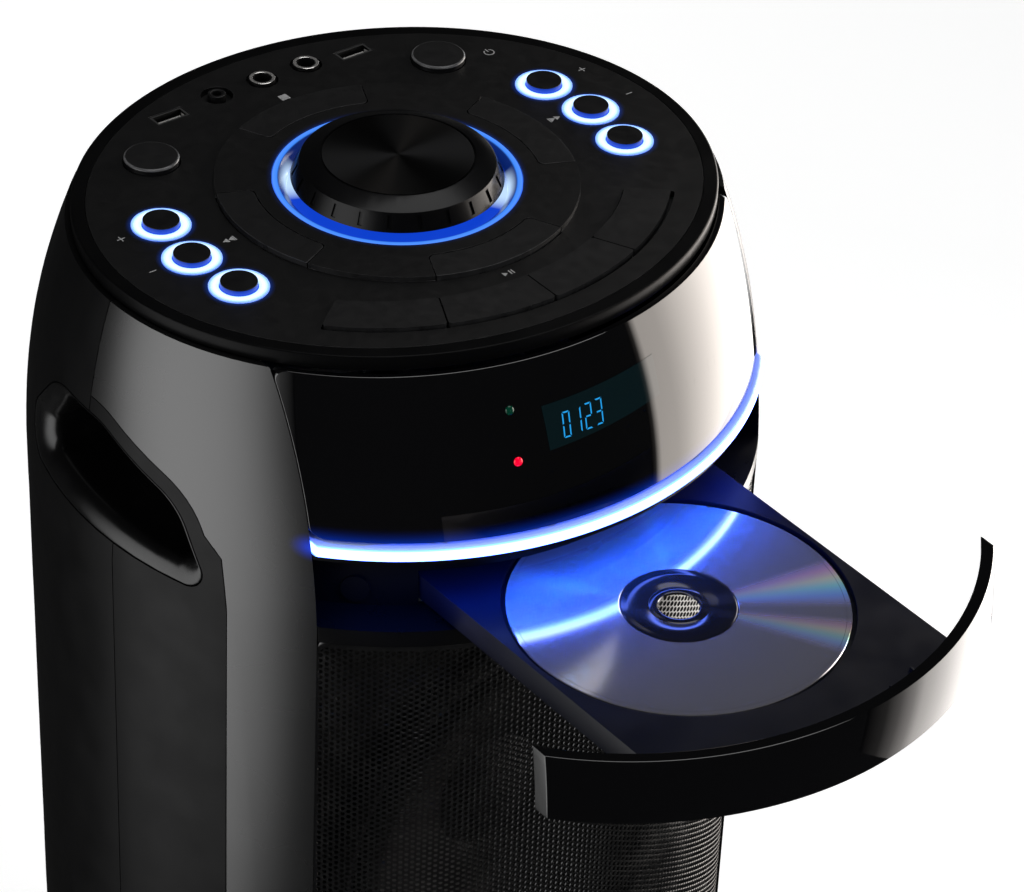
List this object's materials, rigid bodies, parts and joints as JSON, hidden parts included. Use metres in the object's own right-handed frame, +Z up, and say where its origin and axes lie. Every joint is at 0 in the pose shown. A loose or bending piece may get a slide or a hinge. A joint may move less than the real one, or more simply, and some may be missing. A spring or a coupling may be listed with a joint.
{
  "type": "karaoke machine with disc tray",
  "caption": "Oval karaoke tower speaker with a round control panel, glowing rings, a display window, a perforated grille and a powered disc tray shown open.",
  "frame": {"origin": "centre of the plinth's flat underside, on the vertical axis of the round control panel", "axes": "+Z up, the front with the tray faces -Y, +X is the viewer's right"},
  "size_m": [0.2732, 0.3947, 0.6316],
  "materials": {
    "black_gloss": "piano black, polished",
    "black_panel": "matte black with a fine brushed texture",
    "black_satin": "satin black, fine grain",
    "black_keys": "satin black",
    "smoked_window": "dark smoked, polished",
    "light_diffuser": "milky diffuser, lit blue",
    "knob_black": "black, spun top face",
    "grille_black": "perforated steel sheet, satin black",
    "tray_black": "satin black",
    "disc": "polycarbonate disc, silver with rainbow streaks",
    "chrome_socket": "polished",
    "steel_part": "bare steel",
    "rubber": "matte",
    "board_wood": "fibreboard, raw",
    "cone_paper": "pressed pulp cone, matte black",
    "circuit": "green circuit board",
    "white_plastic": "natural white",
    "battery": "sealed battery case"
  },
  "bodies": {
    "cabinet": {"base": "black_satin", "rubber_feet": "rubber", "front_shell": "black_gloss", "rear_shell": "black_satin", "side_panels": "black_satin", "handle_cups": "black_satin", "top_bezel_ring": "black_gloss", "top_panel": "black_panel", "knob_light_ring": "light_diffuser", "button_light_rings": "light_diffuser", "display_window": "smoked_window", "display_module": "circuit", "light_bar": "light_diffuser", "tray_surround": "black_satin", "speaker_grille": "grille_black", "baffle": "board_wood", "woofer_baskets": "steel_part", "woofer_surrounds": "rubber", "woofer_trim_rings": "black_satin", "usb_ports": "chrome_socket", "jack_sockets": "black_satin", "control_board": "circuit", "volume_encoder": "black_satin", "power_board": "circuit", "battery_pack": "battery", "service_panel": "black_satin", "panel_screws": "steel_part", "mains_inlet": "black_satin", "loader_chassis": "white_plastic", "clamper_bridge": "steel_part", "spindle_motor": "steel_part", "sled_rods": "steel_part", "tray_motor": "steel_part"},
    "tray": {"disc_tray": "tray_black", "tray_bezel": "black_gloss"},
    "disc": {"compact_disc": "disc"},
    "turntable": {"turntable": "black_satin"},
    "clamper": {"disc_clamper": "white_plastic"},
    "pickup": {"optical_pickup": "black_satin"},
    "gear": {"tray_gear": "white_plastic"},
    "upper_cone": {"upper_woofer_cone": "cone_paper"},
    "lower_cone": {"lower_woofer_cone": "cone_paper"},
    "knob": {"volume_knob": "knob_black"},
    "rocker": {"rocker_switch": "black_keys"},
    "stop_key": {"stop_button": "black_keys"},
    "previous_key": {"previous_button": "black_keys"},
    "play_key": {"play_button": "black_keys"},
    "next_key": {"next_button": "black_keys"},
    "open_close_key": {"open_close_button": "black_keys"},
    "program_key": {"program_button": "black_keys"},
    "light_key": {"light_button": "black_keys"},
    "source_key": {"source_button": "black_keys"},
    "left_upper_key": {"left_upper_button": "black_keys"},
    "left_middle_key": {"left_middle_button": "black_keys"},
    "left_lower_key": {"left_lower_button": "black_keys"},
    "right_upper_key": {"right_upper_button": "black_keys"},
    "right_middle_key": {"right_middle_button": "black_keys"},
    "right_lower_key": {"right_lower_button": "black_keys"},
    "bass_key": {"bass_button": "black_keys"},
    "power_key": {"power_button": "black_keys"}
  },
  "joints": [
    {"name": "tray_slide", "type": "slide", "parent": "cabinet", "child": "tray", "axis": [0, 1, 0], "range_m": [0, 0.126]},
    {"name": "disc_spin", "type": "hinge", "parent": "tray", "child": "disc", "pos_m": [0, -0.166, 0.526], "axis": [0, 0, 1], "continuous": true},
    {"name": "turntable_spin", "type": "hinge", "parent": "cabinet", "child": "turntable", "pos_m": [0, -0.04, 0.515], "axis": [0, 0, 1], "continuous": true},
    {"name": "clamper_spin", "type": "hinge", "parent": "cabinet", "child": "clamper", "pos_m": [0, -0.04, 0.532], "axis": [0, 0, 1], "continuous": true},
    {"name": "pickup_slide", "type": "slide", "parent": "cabinet", "child": "pickup", "axis": [0, 1, 0], "range_m": [0, 0.033]},
    {"name": "gear_spin", "type": "hinge", "parent": "cabinet", "child": "gear", "pos_m": [0.032, -0.094, 0.519], "axis": [0, 0, 1], "range_deg": [-5, 905]},
    {"name": "upper_cone_travel", "type": "slide", "parent": "cabinet", "child": "upper_cone", "axis": [0, 1, 0], "range_m": [-0.003, 0.003], "stiffness_N_per_m": 1500},
    {"name": "lower_cone_travel", "type": "slide", "parent": "cabinet", "child": "lower_cone", "axis": [0, 1, 0], "range_m": [-0.003, 0.003], "stiffness_N_per_m": 1500},
    {"name": "volume_turn", "type": "hinge", "parent": "cabinet", "child": "knob", "pos_m": [0, 0, 0.62], "axis": [0, 0, 1], "continuous": true},
    {"name": "rocker_tilt", "type": "hinge", "parent": "cabinet", "child": "rocker", "pos_m": [0, 0.1145, 0.15], "axis": [1, 0, 0], "range_deg": [0, 14]},
    {"name": "stop_press", "type": "slide", "parent": "cabinet", "child": "stop_key", "axis": [0, 0, 1], "range_m": [-0.001, 0], "stiffness_N_per_m": 300, "springref_m": 0.001},
    {"name": "previous_press", "type": "slide", "parent": "cabinet", "child": "previous_key", "axis": [0, 0, 1], "range_m": [-0.001, 0], "stiffness_N_per_m": 300, "springref_m": 0.001},
    {"name": "play_press", "type": "slide", "parent": "cabinet", "child": "play_key", "axis": [0, 0, 1], "range_m": [-0.001, 0], "stiffness_N_per_m": 300, "springref_m": 0.001},
    {"name": "next_press", "type": "slide", "parent": "cabinet", "child": "next_key", "axis": [0, 0, 1], "range_m": [-0.001, 0], "stiffness_N_per_m": 300, "springref_m": 0.001},
    {"name": "open_close_press", "type": "slide", "parent": "cabinet", "child": "open_close_key", "axis": [0, 0, 1], "range_m": [-0.001, 0], "stiffness_N_per_m": 300, "springref_m": 0.001},
    {"name": "program_press", "type": "slide", "parent": "cabinet", "child": "program_key", "axis": [0, 0, 1], "range_m": [-0.001, 0], "stiffness_N_per_m": 300, "springref_m": 0.001},
    {"name": "light_press", "type": "slide", "parent": "cabinet", "child": "light_key", "axis": [0, 0, 1], "range_m": [-0.001, 0], "stiffness_N_per_m": 300, "springref_m": 0.001},
    {"name": "source_press", "type": "slide", "parent": "cabinet", "child": "source_key", "axis": [0, 0, 1], "range_m": [-0.001, 0], "stiffness_N_per_m": 300, "springref_m": 0.001},
    {"name": "left_upper_press", "type": "slide", "parent": "cabinet", "child": "left_upper_key", "axis": [0, 0, 1], "range_m": [-0.001, 0], "stiffness_N_per_m": 300, "springref_m": 0.001},
    {"name": "left_middle_press", "type": "slide", "parent": "cabinet", "child": "left_middle_key", "axis": [0, 0, 1], "range_m": [-0.001, 0], "stiffness_N_per_m": 300, "springref_m": 0.001},
    {"name": "left_lower_press", "type": "slide", "parent": "cabinet", "child": "left_lower_key", "axis": [0, 0, 1], "range_m": [-0.001, 0], "stiffness_N_per_m": 300, "springref_m": 0.001},
    {"name": "right_upper_press", "type": "slide", "parent": "cabinet", "child": "right_upper_key", "axis": [0, 0, 1], "range_m": [-0.001, 0], "stiffness_N_per_m": 300, "springref_m": 0.001},
    {"name": "right_middle_press", "type": "slide", "parent": "cabinet", "child": "right_middle_key", "axis": [0, 0, 1], "range_m": [-0.001, 0], "stiffness_N_per_m": 300, "springref_m": 0.001},
    {"name": "right_lower_press", "type": "slide", "parent": "cabinet", "child": "right_lower_key", "axis": [0, 0, 1], "range_m": [-0.001, 0], "stiffness_N_per_m": 300, "springref_m": 0.001},
    {"name": "bass_press", "type": "slide", "parent": "cabinet", "child": "bass_key", "axis": [0, 0, 1], "range_m": [-0.001, 0], "stiffness_N_per_m": 300, "springref_m": 0.001},
    {"name": "power_press", "type": "slide", "parent": "cabinet", "child": "power_key", "axis": [0, 0, 1], "range_m": [-0.001, 0], "stiffness_N_per_m": 300, "springref_m": 0.001}
  ],
  "couplings": [
    {"joint": "gear_spin", "follows": "tray_slide", "rad_per_m": 125}
  ]
}
